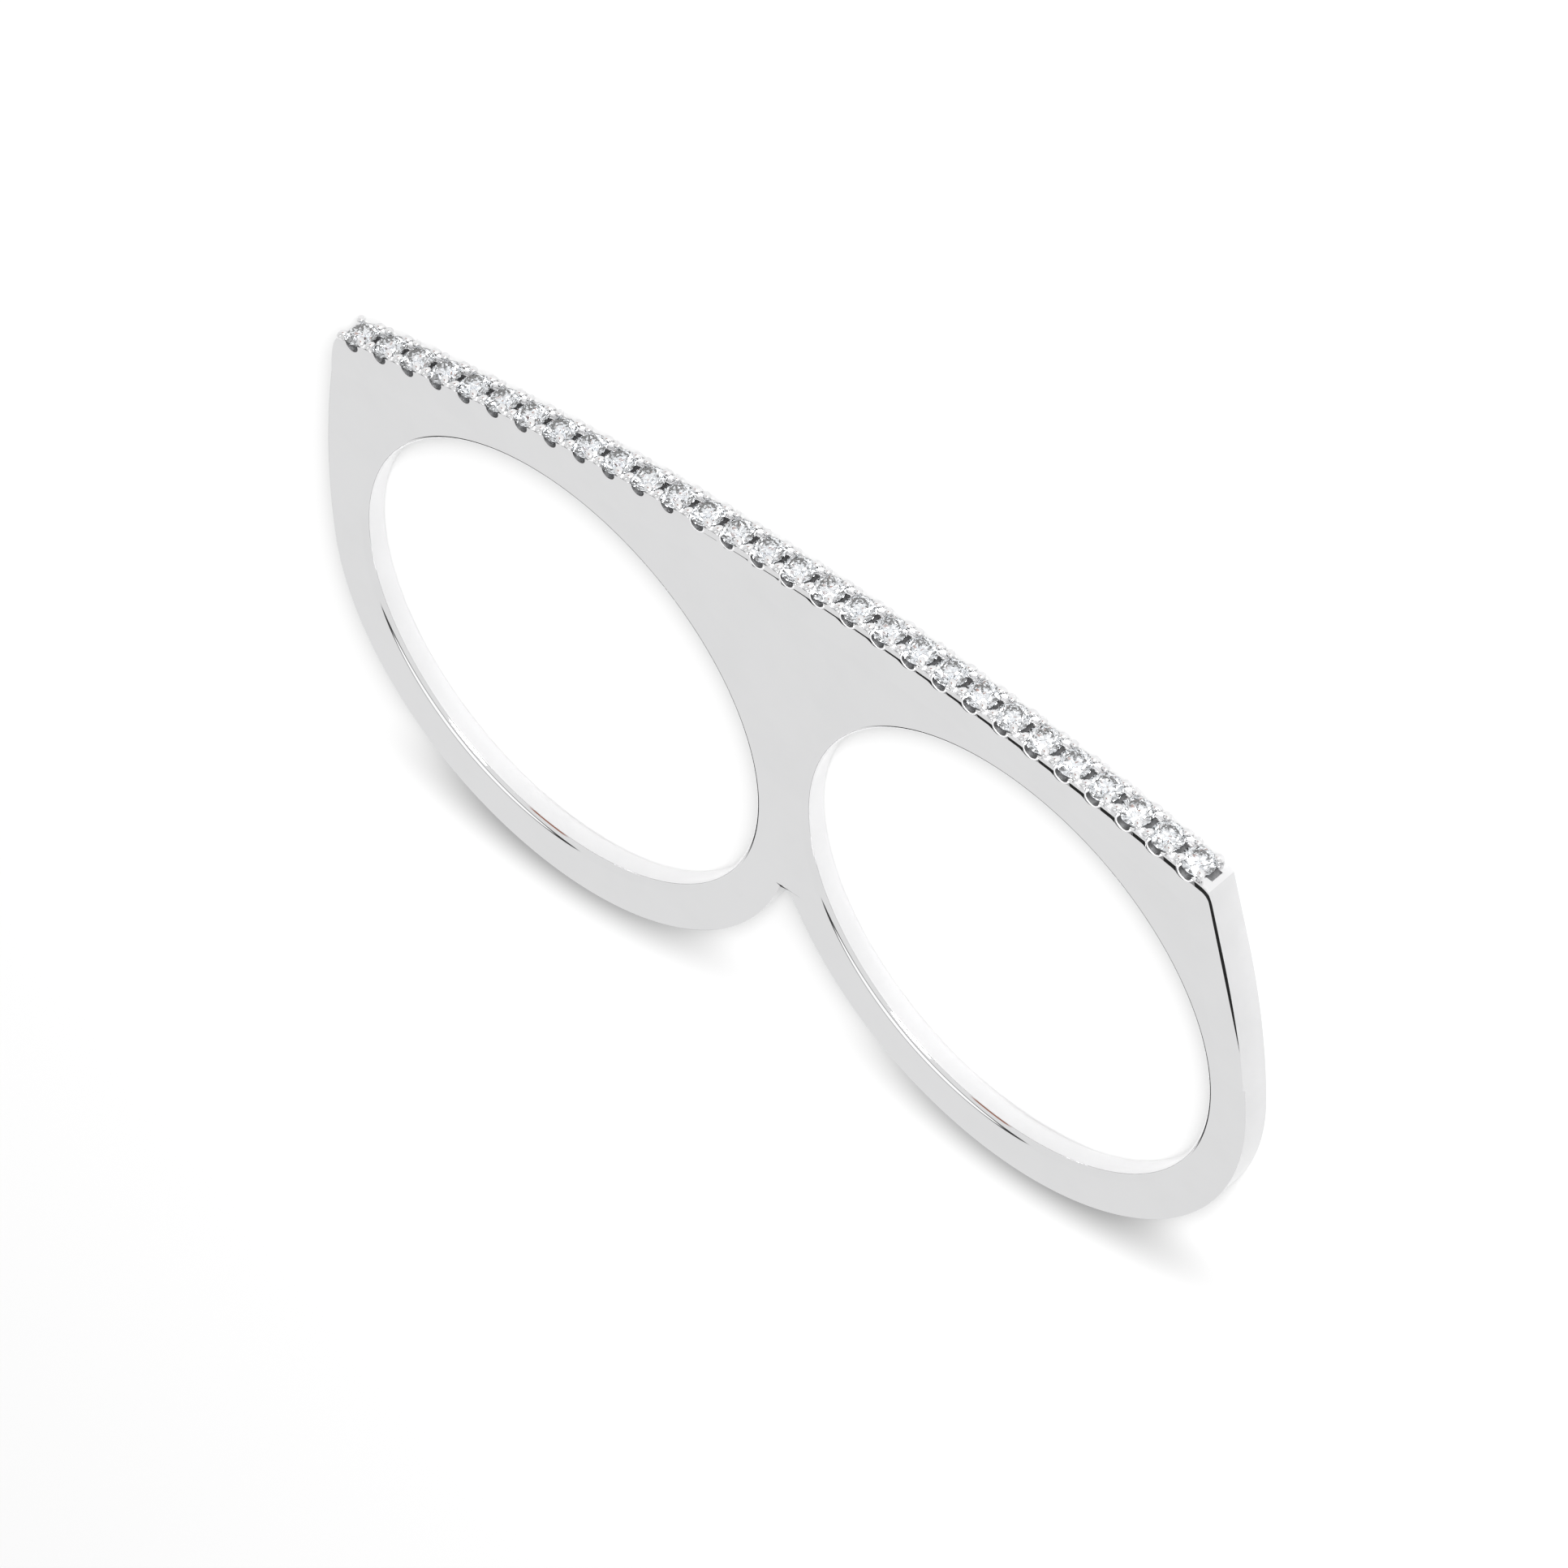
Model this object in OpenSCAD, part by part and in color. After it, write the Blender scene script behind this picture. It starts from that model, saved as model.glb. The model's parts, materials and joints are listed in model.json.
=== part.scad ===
// Double ring: one cast body with two finger holes and a row of round cut stones on its arched top.
// It lies on its flat back face. X runs along the row, Y from shanks to stones, and Z along the fingers.
// The origin is on the back face, midway between the finger holes and level with the left one.

/* [Finger holes] */
// Diameter of the left finger hole
left_hole_d = 17.3; // [16.5:0.05:17.8]
// Diameter of the right finger hole
right_hole_d = 17.06; // [16.5:0.01:17.8]
// Distance between the centres of the finger holes
hole_spacing = 19.46; // [19.3:0.02:19.7]
// How far the right hole's centre lies below the left one's
right_hole_drop = 0.22; // [0:0.01:0.3]
// Radius that rounds both edges of each finger hole
comfort_r = 0.25; // [0.15:0.05:0.35]

/* [Shanks] */
// Thickness of the body along the fingers
plate_t = 1.0; // [0.9:0.05:1.1]
// Outside diameter of each shank
shank_d = 20.34; // [20.2:0.02:20.6]
// How far the shanks' centres lie below the left hole's centre
shank_drop = 0.29; // [0.1:0.01:0.4]
// Radius at the bottom of the notch between the shanks
notch_r = 0.3; // [0.2:0.05:0.5]

/* [Bar] */
// Radius of the arch that the stones' girdles follow
arch_r = 87; // [80:1:100]
// Height of the arch's crest above the left hole's centre
arch_y = 11.386; // [11.2:0.002:11.6]
// Half of the bar's width at end_y
end_half = 18.92; // [18.8:0.01:19.0]
// Height at which end_half is measured
end_y = 9.0; // [8.8:0.1:9.2]
// Inward lean of the straight end walls, in degrees
end_lean = 10.3; // [9.5:0.1:11]
// Radius of the curve that leads each end wall into its shank
end_blend_r = 34; // [30:1:40]

/* [Stone rail] */
// Thickness of the rail that carries the stones
rail_t = 1.2; // [1.15:0.01:1.25]
// Depth of the rail's top face below the girdle line
rail_drop = 0.05; // [0.03:0.01:0.08]
// Depth below the girdle line at which the rail's front face starts to slope back
flare_start = 0.55; // [0.5:0.05:0.7]
// Depth below the girdle line at which the slope meets the body's front face
flare_end = 1.1; // [0.95:0.05:1.3]
// Width of the flare beside each end wall, at the top corner
end_flare_w = 0.55; // [0.4:0.05:0.7]
// Height at which the flare beside each end wall runs out
end_flare_y = 3.5; // [2.5:0.1:4.5]
// Radius of the U-shaped cut below each stone
scallop_r = 0.32; // [0.28:0.01:0.34]
// Depth of the U-shaped cut below the girdle line
scallop_depth = 0.42; // [0.36:0.01:0.46]
// Width of the channel between the front and back posts
channel_w = 0.5; // [0.4:0.02:0.54]
// Depth of that channel below the girdle line
channel_depth = 0.35; // [0.2:0.01:0.4]

/* [Beads] */
// Radius of each bead's rounded head
bead_r = 0.13; // [0.12:0.005:0.14]
// Radius of the neck below each bead
neck_r = 0.11; // [0.1:0.005:0.115]
// Distance of a bead from its stone's centre, along the row
bead_x = 0.44; // [0.43:0.005:0.45]
// Distance of a bead from its stone's centre, across the row
bead_z = 0.44; // [0.42:0.01:0.46]
// Height of a bead's centre above the girdle line
bead_h = 0.14; // [0.12:0.01:0.18]
// Height of the saddle that joins two beads, above the girdle line
saddle_h = 0.06; // [0.03:0.01:0.1]
// Thickness of that saddle
saddle_t = 0.2; // [0.14:0.01:0.22]

/* [Stones] */
// Number of stones in the row
stone_count = 29; // [29:1:29]
// Diameter of each stone
stone_d = 1.15; // [1.1:0.01:1.16]
// Distance from stone to stone along the arch
stone_pitch = 1.2936; // [1.28:0.0002:1.3]
// Height of the stones' centres above the back face
stone_z = 0.6; // [0.58:0.01:0.62]
// Table width as a share of the diameter
table_share = 0.56; // [0.52:0.01:0.6]
// Crown height as a share of the diameter
crown_share = 0.16; // [0.14:0.005:0.17]
// Pavilion depth as a share of the diameter
pavilion_share = 0.43; // [0.41:0.005:0.44]
// Width across the tips of the long facets near the point, as a share of the diameter
lower_tip_share = 0.22; // [0.18:0.01:0.3]
// Thickness of the girdle
girdle_t = 0.035; // [0.02:0.005:0.04]
// Clearance between a stone and its seat
seat_gap = 0.02; // [0.01:0.005:0.03]
// Turn of each stone about its own axis relative to the one before, in degrees
stone_turn = 17; // [0:1:45]

/* [Hidden] */
$fn = 96;
// How far a cutter runs past what it cuts
past = 0.5;
// Facets of an arc of the arch's radius, of a shank or finger hole, and of a bead
arch_fn = 720;
hole_fn = 180;
bead_fn = 32;

function two_digits(n) = n < 10 ? str("0", n) : str(n);
function stone_name(i) = str("stone_", two_digits(i + 1));
STONES = [for (i = [0:stone_count - 1]) stone_name(i)];

shank_r = shank_d / 2;
shank_x = hole_spacing / 2;
arch_centre_y = arch_y - arch_r;
// Height that clears every round cutter along the arch
clear_y = arch_y + 4 * past;
stone_r = stone_d / 2;
pitch_angle = stone_pitch / arch_r * 180 / PI;
half_count = (stone_count - 1) / 2;

// End wall on the right: a line that leans inward, and the circle that is tangent to it and to the shank
wall_normal = [cos(end_lean), sin(end_lean)];
wall_along = [-sin(end_lean), cos(end_lean)];
wall_point = [end_half, end_y];
shank_centre = [shank_x, -shank_drop];
blend_from = wall_point - end_blend_r * wall_normal - shank_centre;
blend_slide = -blend_from * wall_along
    + sqrt(pow(blend_from * wall_along, 2) - blend_from * blend_from + pow(end_blend_r - shank_r, 2));
blend_centre = shank_centre + blend_from + blend_slide * wall_along;
blend_top = blend_centre + end_blend_r * wall_normal;
blend_low = blend_centre + end_blend_r * (shank_centre - blend_centre) / norm(shank_centre - blend_centre);
wall_top = blend_top + (arch_y + 2 * past - blend_top.y) / cos(end_lean) * wall_along;
corner_from = blend_top - [0, arch_centre_y];
corner_slide = -corner_from * wall_along
    + sqrt(pow(corner_from * wall_along, 2) - corner_from * corner_from + pow(arch_r - rail_drop, 2));
corner = blend_top + corner_slide * wall_along;
blend_steps = 14;
blend_sweep = end_lean - atan2(blend_low.y - blend_centre.y, blend_low.x - blend_centre.x);
function wall_curve(k) = let (a = end_lean - blend_sweep * k / blend_steps)
    blend_centre + end_blend_r * [cos(a), sin(a)];

// The bar's outline and the notch's patch end just inside the shanks, so that their edges cross cleanly
inset = 0.05;
foot_step = [1.0, 0.5];
bar_foot = blend_low - foot_step;

// Fillet at the bottom of the notch, resting on both shanks
notch_overlap = 0.005;
notch_span = shank_r + notch_r - notch_overlap;
notch_centre_y = -shank_drop - sqrt(pow(notch_span, 2) - shank_x * shank_x);
notch_edge = shank_centre + (shank_r - inset) / notch_span * ([0, notch_centre_y] - shank_centre);

// Stone outline: radii and heights above the girdle's middle
table_r = stone_r * table_share;
crown_base = girdle_t / 2;
crown_top = crown_base + stone_d * crown_share;
culet = -girdle_t / 2 - stone_d * pavilion_share;
star_r = (table_r + stone_r) / 2;
star_h = crown_base + (stone_r - star_r * cos(22.5)) / (stone_r - table_r) * (crown_top - crown_base);
lower_r = stone_r * lower_tip_share;
lower_h = culet + (-girdle_t / 2 - culet) * lower_r * cos(22.5) / stone_r;

// Places its children in the frame of position i: X along the row, Y outward, origin on the girdle line
module at_stone(i) {
    translate([0, arch_centre_y, 0])
        rotate([0, 0, -(i - half_count) * pitch_angle])
            translate([0, arch_r, stone_z])
                children();
}

// Points its children's Z axis outward from the arch
module outward() {
    rotate([-90, 0, 0]) children();
}

// Front view of the bar and the end walls, down to where they run into the shanks
module bar_outline() {
    right = concat([wall_top], [for (k = [0:blend_steps]) wall_curve(k)], [bar_foot]);
    left = [for (k = [len(right) - 1:-1:0]) [-right[k].x, right[k].y]];
    intersection() {
        translate([0, arch_centre_y]) circle(arch_r - rail_drop, $fn = arch_fn);
        polygon(concat(right, left));
    }
}

// Front view of the patch that closes the notch between the shanks down to its fillet
module notch_outline() {
    difference() {
        polygon([
            [-shank_x, -shank_drop],
            [shank_x, -shank_drop],
            notch_edge,
            [-notch_edge.x, notch_edge.y],
        ]);
        translate([0, notch_centre_y]) circle(notch_r);
    }
}

// The whole body at the rail's thickness, without its finger holes
module blank() {
    for (side = [-1, 1]) translate([side * shank_x, -shank_drop, 0])
        cylinder(r = shank_r, h = rail_t, $fn = hole_fn);
    linear_extrude(rail_t) bar_outline();
    linear_extrude(rail_t) notch_outline();
}

// Cutter for one finger hole, flared at both faces so that the hole's edges come out rounded
module hole_cut(hole_r) {
    rotate_extrude($fn = hole_fn) difference() {
        translate([0, -past]) square([hole_r + comfort_r, plate_t + 2 * past]);
        translate([hole_r, comfort_r]) square([2 * comfort_r, plate_t - 2 * comfort_r]);
        translate([hole_r + comfort_r, comfort_r]) circle(comfort_r);
        translate([hole_r + comfort_r, plate_t - comfort_r]) circle(comfort_r);
    }
}

// Solid that the rail keeps in front of the body's front face, sloped along its lower side
module rail_flare() {
    slope = (rail_t - plate_t) / (flare_end - flare_start);
    sunk = 0.1;
    translate([0, arch_centre_y, 0]) rotate_extrude($fn = arch_fn) polygon([
        [arch_r - flare_end - sunk / slope, plate_t - sunk],
        [arch_r + 2 * past, plate_t - sunk],
        [arch_r + 2 * past, rail_t + past],
        [arch_r - flare_start + past / slope, rail_t + past],
    ]);
}

// The same beside one end wall, where the flare narrows downwards and runs out
module end_flare(side) {
    top = corner - [end_flare_w, 0];
    run_out_x = blend_centre.x + sqrt(pow(end_blend_r, 2) - pow(end_flare_y - blend_centre.y, 2));
    run_out = [run_out_x, end_flare_y];
    rise = atan((rail_t - plate_t) / end_flare_w);
    length = norm(top - run_out) + 4;
    width = 3;
    depth = 2;
    mirror([side < 0 ? 1 : 0, 0, 0])
        translate([run_out.x, run_out.y, plate_t])
            rotate([0, 0, atan2(top.y - run_out.y, top.x - run_out.x)])
                rotate([-rise, 0, 0])
                    translate([0, -width, -depth]) cube([length, width, depth]);
}

// Everything in front of the body's front face except the flares
module front_cut() {
    half_w = shank_x + shank_r + past;
    low_y = -shank_drop - shank_r - past;
    difference() {
        translate([-half_w, low_y, plate_t]) cube([2 * half_w, clear_y - low_y, rail_t]);
        rail_flare();
        for (side = [-1, 1]) end_flare(side);
    }
}

// Room for one stone, larger than the stone all round
module stone_seat() {
    seat_gap_deep = 1.5 * seat_gap;
    outward() rotate_extrude() polygon([
        [0, culet - seat_gap_deep],
        [stone_r + seat_gap, -crown_base - seat_gap],
        [stone_r + seat_gap, crown_base + seat_gap],
        [table_r + seat_gap, crown_top + seat_gap],
        [0, crown_top + seat_gap],
    ]);
}

// U-shaped cut below one stone, through the rail from front to back
module scallop_cut() {
    translate([0, scallop_r - scallop_depth, -stone_z - past])
        cylinder(r = scallop_r, h = rail_t + 2 * past);
}

// Channel along the row, between the front posts and the back posts
module channel_cut() {
    half_length = arch_r * sin(half_count * pitch_angle);
    intersection() {
        translate([0, arch_centre_y, stone_z - channel_w / 2]) difference() {
            cylinder(r = arch_r + 2 * past, h = channel_w, $fn = arch_fn);
            translate([0, 0, -past])
                cylinder(r = arch_r - channel_depth, h = channel_w + 2 * past, $fn = arch_fn);
        }
        translate([-half_length, 0, 0]) cube([2 * half_length, clear_y, 2 * rail_t]);
    }
}

// One bead on its neck, at one corner of a stone
module bead(side_x, side_z) {
    translate([side_x * bead_x, 0, side_z * bead_z]) {
        translate([0, -2 * rail_drop, 0]) outward()
            cylinder(r = neck_r, h = bead_h + 2 * rail_drop, $fn = bead_fn);
        translate([0, bead_h, 0]) sphere(bead_r, $fn = bead_fn);
    }
}

// Saddle between the two beads of one post, halfway between neighbouring stones
module saddle(side_z) {
    length = stone_pitch - 2 * bead_x;
    translate([-length / 2, -2 * rail_drop, side_z * bead_z - saddle_t / 2])
        cube([length, saddle_h + 2 * rail_drop, saddle_t]);
}

module ring_body() {
    color("silver") difference() {
        union() {
            difference() {
                blank();
                front_cut();
                translate([-shank_x, 0, 0]) hole_cut(left_hole_d / 2);
                translate([shank_x, -right_hole_drop, 0]) hole_cut(right_hole_d / 2);
                for (i = [0:stone_count - 1]) at_stone(i) scallop_cut();
                channel_cut();
            }
            for (i = [0:stone_count - 1], side_x = [-1, 1], side_z = [-1, 1])
                at_stone(i) bead(side_x, side_z);
            for (i = [0:stone_count - 2], side_z = [-1, 1]) at_stone(i + 0.5) saddle(side_z);
        }
        for (i = [0:stone_count - 1]) at_stone(i) stone_seat();
    }
}

// Rings of a brilliant cut's corners: table, star tips, upper girdle, lower girdle, lower tips, culet
function ring(count, radius, height, first) =
    [for (k = [0:count - 1]) let (a = first + k * 360 / count) [radius * cos(a), radius * sin(a), height]];
stone_points = concat(
    ring(8, table_r, crown_top, 0),
    ring(8, star_r, star_h, 22.5),
    ring(16, stone_r, crown_base, 0),
    ring(16, stone_r, -crown_base, 0),
    ring(8, lower_r, lower_h, 22.5),
    [[0, 0, culet]]
);
TABLE = 0;
STAR = 8;
UPPER = 16;
LOWER = 32;
TIP = 48;
CULET = 56;
function before(k) = (k + 7) % 8;
stone_faces = concat(
    [[for (k = [7:-1:0]) TABLE + k]],
    [for (k = [0:7]) [TABLE + k, TABLE + (k + 1) % 8, STAR + k]],
    [for (k = [0:7]) [UPPER + 2 * k, STAR + before(k), TABLE + k, STAR + k]],
    [for (k = [0:7]) [STAR + k, UPPER + 2 * k + 1, UPPER + 2 * k]],
    [for (k = [0:7]) [STAR + k, UPPER + (2 * k + 2) % 16, UPPER + 2 * k + 1]],
    [for (k = [0:15]) [UPPER + k, UPPER + (k + 1) % 16, LOWER + (k + 1) % 16, LOWER + k]],
    [for (k = [0:7]) [TIP + k, LOWER + 2 * k, LOWER + 2 * k + 1]],
    [for (k = [0:7]) [TIP + k, LOWER + 2 * k + 1, LOWER + (2 * k + 2) % 16]],
    [for (k = [0:7]) [LOWER + 2 * k, TIP + k, CULET, TIP + before(k)]]
);

module stone(i) {
    color("aliceblue") at_stone(i) outward() rotate([0, 0, i * stone_turn])
        polyhedron(stone_points, stone_faces);
}

ring_body();
for (i = [0:stone_count - 1]) stone(i);
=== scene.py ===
"""Double ring lying on its back face: a cast white gold body and a row of round brilliants, in a pale studio.

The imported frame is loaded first. The cast body is modelled in millimetres with Blender's own operators and is
brought to metres when it is finished. The stones are the frame's own nodes with a cut stone's material.
"""

from __future__ import annotations

import json
import logging
import math
from collections.abc import Callable, Iterator
from contextlib import contextmanager
from dataclasses import dataclass
from enum import Enum

import bmesh
import bpy
from mathutils import Matrix, Vector

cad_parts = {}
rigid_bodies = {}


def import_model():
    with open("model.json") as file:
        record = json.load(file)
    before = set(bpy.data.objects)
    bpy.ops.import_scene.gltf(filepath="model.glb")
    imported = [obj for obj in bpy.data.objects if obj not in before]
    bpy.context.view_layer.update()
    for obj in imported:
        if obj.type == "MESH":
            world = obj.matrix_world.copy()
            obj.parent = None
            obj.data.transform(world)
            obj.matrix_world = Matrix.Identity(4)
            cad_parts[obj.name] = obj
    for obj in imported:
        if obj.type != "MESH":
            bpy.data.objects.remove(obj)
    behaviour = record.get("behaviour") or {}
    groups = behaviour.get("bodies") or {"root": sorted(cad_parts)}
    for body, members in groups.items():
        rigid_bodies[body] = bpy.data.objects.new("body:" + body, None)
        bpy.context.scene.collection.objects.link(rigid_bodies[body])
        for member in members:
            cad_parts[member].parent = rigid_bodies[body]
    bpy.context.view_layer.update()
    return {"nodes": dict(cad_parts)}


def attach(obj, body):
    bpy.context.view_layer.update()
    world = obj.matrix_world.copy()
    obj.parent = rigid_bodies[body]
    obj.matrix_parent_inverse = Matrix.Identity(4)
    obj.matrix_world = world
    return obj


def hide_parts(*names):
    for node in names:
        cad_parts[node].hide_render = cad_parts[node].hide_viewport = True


Piece = bpy.types.Object
Socket = bpy.types.NodeSocket
Triple = tuple[float, float, float]
Pair = tuple[float, float]
MILLIMETRE = 0.001
# Millimetres within which two points count as one
TIGHT = 1e-4
# The Z of a face's normal: below the first it is a side wall, above the second it faces front or back
UPRIGHT = 0.3
LEVEL = 0.5
FADE_OUT = (1.0, 0.0)
LOG = logging.getLogger("double_ring")


class Cut(Enum):
    """How one solid acts on another."""

    JOIN = "UNION"
    REMOVE = "DIFFERENCE"
    KEEP_COMMON = "INTERSECT"


class Axis(Enum):
    """The three directions of the ring's frame."""

    ROW = (1.0, 0.0, 0.0)
    UP = (0.0, 1.0, 0.0)
    FINGER = (0.0, 0.0, 1.0)


def focus(piece: Piece, *others: Piece) -> None:
    """Selects a piece and the given others, with the piece active.

    Args:
        piece: the object that becomes active.
        others: further objects that are selected with it.
    """
    bpy.ops.object.select_all(action="DESELECT")
    for one in (piece, *others):
        one.select_set(True)
    bpy.context.view_layer.objects.active = piece


@contextmanager
def editing(piece: Piece) -> Iterator[None]:
    """Holds a piece in edit mode, all selected at first, for the length of a with block.

    Args:
        piece: the mesh object to edit.

    Yields:
        Nothing; the piece is in edit mode until the block ends.
    """
    focus(piece)
    bpy.ops.object.mode_set(mode="EDIT")
    bpy.ops.mesh.select_all(action="SELECT")
    try:
        yield
    finally:
        bpy.ops.object.mode_set(mode="OBJECT")


def added(operator: Callable[..., set[str]], name: str, **values: object) -> Piece:
    """Runs an operator that adds an object, with nothing selected before it.

    Args:
        operator: the operator.
        name: name of the new object.
        values: what the operator is given.

    Returns:
        The new object.
    """
    bpy.ops.object.select_all(action="DESELECT")
    operator(**values)
    piece = bpy.context.object
    piece.name = name
    return piece


def settle(piece: Piece) -> Piece:
    """Takes a piece's place, turn and size into its mesh, and returns it."""
    focus(piece)
    bpy.ops.object.transform_apply(location=True, rotation=True, scale=True)
    return piece


def moved(piece: Piece, move: Matrix) -> Piece:
    """Moves a settled piece by a transform, in its mesh, and returns it."""
    piece.matrix_world = move
    return settle(piece)


def start_point(name: str, place: Vector) -> Piece:
    """Makes a mesh of one vertex, the start of a traced line.

    Args:
        name: name of the new object.
        place: where the vertex lies, in millimetres.

    Returns:
        The new object.
    """
    piece = settle(added(bpy.ops.mesh.primitive_plane_add, name, size=1, location=place))
    with editing(piece):
        bpy.ops.mesh.merge(type="CENTER")
    return piece


def draw_line(step: Vector) -> None:
    """Extrudes the selected vertex by a step, in edit mode."""
    bpy.ops.mesh.extrude_vertices_move(TRANSFORM_OT_translate={"value": step})


def draw_arc(centre: Vector, turn: float, steps: int, axis: Axis = Axis.FINGER) -> None:
    """Spins what is selected counter-clockwise about an axis through a centre, in edit mode."""
    bpy.ops.mesh.spin(steps=steps, angle=-turn, center=centre, axis=axis.value)


def close_solid() -> None:
    """Merges doubles and turns every face outward, in edit mode."""
    bpy.ops.mesh.select_all(action="SELECT")
    bpy.ops.mesh.remove_doubles(threshold=TIGHT)
    bpy.ops.mesh.normals_make_consistent(inside=False)


def trace(name: str, spots: list[Vector]) -> Piece:
    """Makes an open line through several points.

    Args:
        name: name of the new object.
        spots: the points in order, in millimetres.

    Returns:
        The line.
    """
    line = start_point(name, spots[0])
    with editing(line):
        for here, there in zip(spots, spots[1:]):
            draw_line(there - here)
    return line


def sweep(piece: Piece, centre: Vector, turn: float, steps: int, axis: Axis = Axis.FINGER) -> Piece:
    """Spins a whole line or profile into a closed solid.

    Args:
        piece: the line or profile.
        centre: a point on the axis of the turn.
        turn: angle of the turn in radians.
        steps: number of equal steps.
        axis: direction of the axis.

    Returns:
        The same piece, now a solid.
    """
    with editing(piece):
        draw_arc(centre, turn, steps, axis)
        close_solid()
    return piece


def use_modifier(piece: Piece, kind: str, **values: object) -> None:
    """Adds a modifier to a piece, sets it and applies it.

    Args:
        piece: the mesh object.
        kind: Blender's name of the modifier type.
        values: the modifier's settings.
    """
    focus(piece)
    modifier = piece.modifiers.new(kind.lower(), kind)
    for name, value in values.items():
        setattr(modifier, name, value)
    bpy.ops.object.modifier_apply(modifier=modifier.name)


def combine(piece: Piece, tool: Piece, cut: Cut) -> None:
    """Joins a tool solid to a piece, or cuts it out of it, and removes the tool.

    Args:
        piece: the solid that changes.
        tool: the closed solid that acts on it.
        cut: how it acts.
    """
    use_modifier(
        piece, "BOOLEAN", object=tool, operation=cut.value, solver="MANIFOLD", material_mode="TRANSFER"
    )
    bpy.data.objects.remove(tool)


def repeated(name: str, first: Piece, moves: list[Matrix], finish: bpy.types.Material) -> Piece:
    """Copies a piece to several places, each copy with its own mesh, and joins the copies.

    Args:
        name: name of the joined object.
        first: the settled piece to copy, which is removed.
        moves: the transform of each copy.
        finish: material of the copies.

    Returns:
        The joined copies.
    """
    copies = []
    for move in moves:
        focus(first)
        bpy.ops.object.duplicate(linked=False)
        copies.append(moved(bpy.context.object, move))
    bpy.data.objects.remove(first)
    focus(*copies)
    bpy.ops.object.join()
    whole = bpy.context.object
    whole.name = name
    whole.data.materials.clear()
    whole.data.materials.append(finish)
    return whole


@dataclass(frozen=True)
class Row:
    """The arch that the stones follow, in millimetres.

    Position 0 is the left stone. Heights are measured outward from the girdle line.
    """

    radius: float = 87.0
    crest: float = 11.386
    pitch: float = 1.2936
    count: int = 29
    girdle_z: float = 0.6

    @property
    def centre(self) -> Vector:
        """Centre of the arch, on the back face's plane."""
        return Vector((0.0, self.crest - self.radius, 0.0))

    @property
    def middle(self) -> float:
        """Position halfway along the row."""
        return (self.count - 1) / 2

    def angle(self, position: float) -> float:
        """Angle of a position to the right of the arch's crest, in radians."""
        return (position - self.middle) * self.pitch / self.radius

    def angle_of(self, point: Vector) -> float:
        """Angle of a point to the right of the arch's crest, seen from the arch's centre."""
        return math.atan2(point.x, point.y - self.centre.y)

    def position_of(self, point: Vector) -> float:
        """Position on the row that a point lies at."""
        return self.middle + self.angle_of(point) * self.radius / self.pitch

    def outward(self, angle: float) -> Vector:
        """Direction that points away from the arch at an angle."""
        return Vector((math.sin(angle), math.cos(angle), 0.0))

    def point(self, angle: float, height: float, z: float = 0.0) -> Vector:
        """A point at an angle, a height above the girdle line and a level."""
        return self.centre + (self.radius + height) * self.outward(angle) + Vector((0.0, 0.0, z))

    def place(self, position: float) -> Matrix:
        """Transform that takes the middle stone to a position on the row; halves are between two stones."""
        turn = Matrix.Rotation(-self.angle(position), 4, "Z")
        return Matrix.Translation(self.point(self.angle(position), 0.0, self.girdle_z)) @ turn

    def places(self) -> list[Matrix]:
        """Transforms to all stones, from left to right."""
        return [self.place(index) for index in range(self.count)]


@dataclass(frozen=True)
class NodeGraph:
    """A small writer for one node tree."""

    tree: bpy.types.NodeTree

    def add(self, kind: str, **values: object) -> bpy.types.Node:
        """Adds a node of one of Blender's types, sets its properties and returns it."""
        node = self.tree.nodes.new(kind)
        for name, value in values.items():
            setattr(node, name, value)
        return node

    def put(self, socket: Socket, value: object) -> None:
        """Links an input to another socket, or gives it a plain value."""
        if isinstance(value, Socket):
            self.tree.links.new(value, socket)
        else:
            socket.default_value = value

    def feed(self, node: bpy.types.Node, **inputs: object) -> bpy.types.Node:
        """Fills a node's inputs by name.

        Args:
            node: the node to fill.
            inputs: socket names, with underscores for spaces, and what they get.

        Returns:
            The same node.
        """
        for name, value in inputs.items():
            self.put(node.inputs[name.replace("_", " ")], value)
        return node

    def math(self, operation: str, *values: object) -> Socket:
        """Adds a math node.

        Args:
            operation: Blender's name of the operation; one of vectors is named in full, as in VECTOR_LENGTH.
            values: the sockets, numbers or vectors that it works on.

        Returns:
            The node's result, a number or a vector.
        """
        kind = "ShaderNodeVectorMath" if operation.startswith("VECTOR_") else "ShaderNodeMath"
        node = self.add(kind, operation=operation.removeprefix("VECTOR_"))
        for socket, value in zip(node.inputs, values):
            self.put(socket, value)
        return next(socket for socket in node.outputs if socket.enabled)

    def mix(self, share: Socket, first: Triple, second: Triple) -> Socket:
        """Mixes two colours.

        Args:
            share: socket of the second colour's share.
            first: first colour.
            second: second colour.

        Returns:
            The mixed colour.
        """
        node = self.add("ShaderNodeMix", data_type="RGBA")
        self.put(node.inputs[0], share)
        for index, colour in ((6, first), (7, second)):
            node.inputs[index].default_value = (*colour, 1.0)
        return node.outputs[2]

    def ramp(self, value: Socket, span: Pair, to: Pair = (0.0, 1.0)) -> Socket:
        """Maps a value smoothly from one range to another.

        Args:
            value: the socket to map.
            span: the range that it has.
            to: what the range's ends become.

        Returns:
            The mapped value.
        """
        node = self.add("ShaderNodeMapRange", interpolation_type="SMOOTHSTEP")
        self.feed(node, Value=value, From_Min=span[0], From_Max=span[1], To_Min=to[0], To_Max=to[1])
        return node.outputs["Result"]


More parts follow.
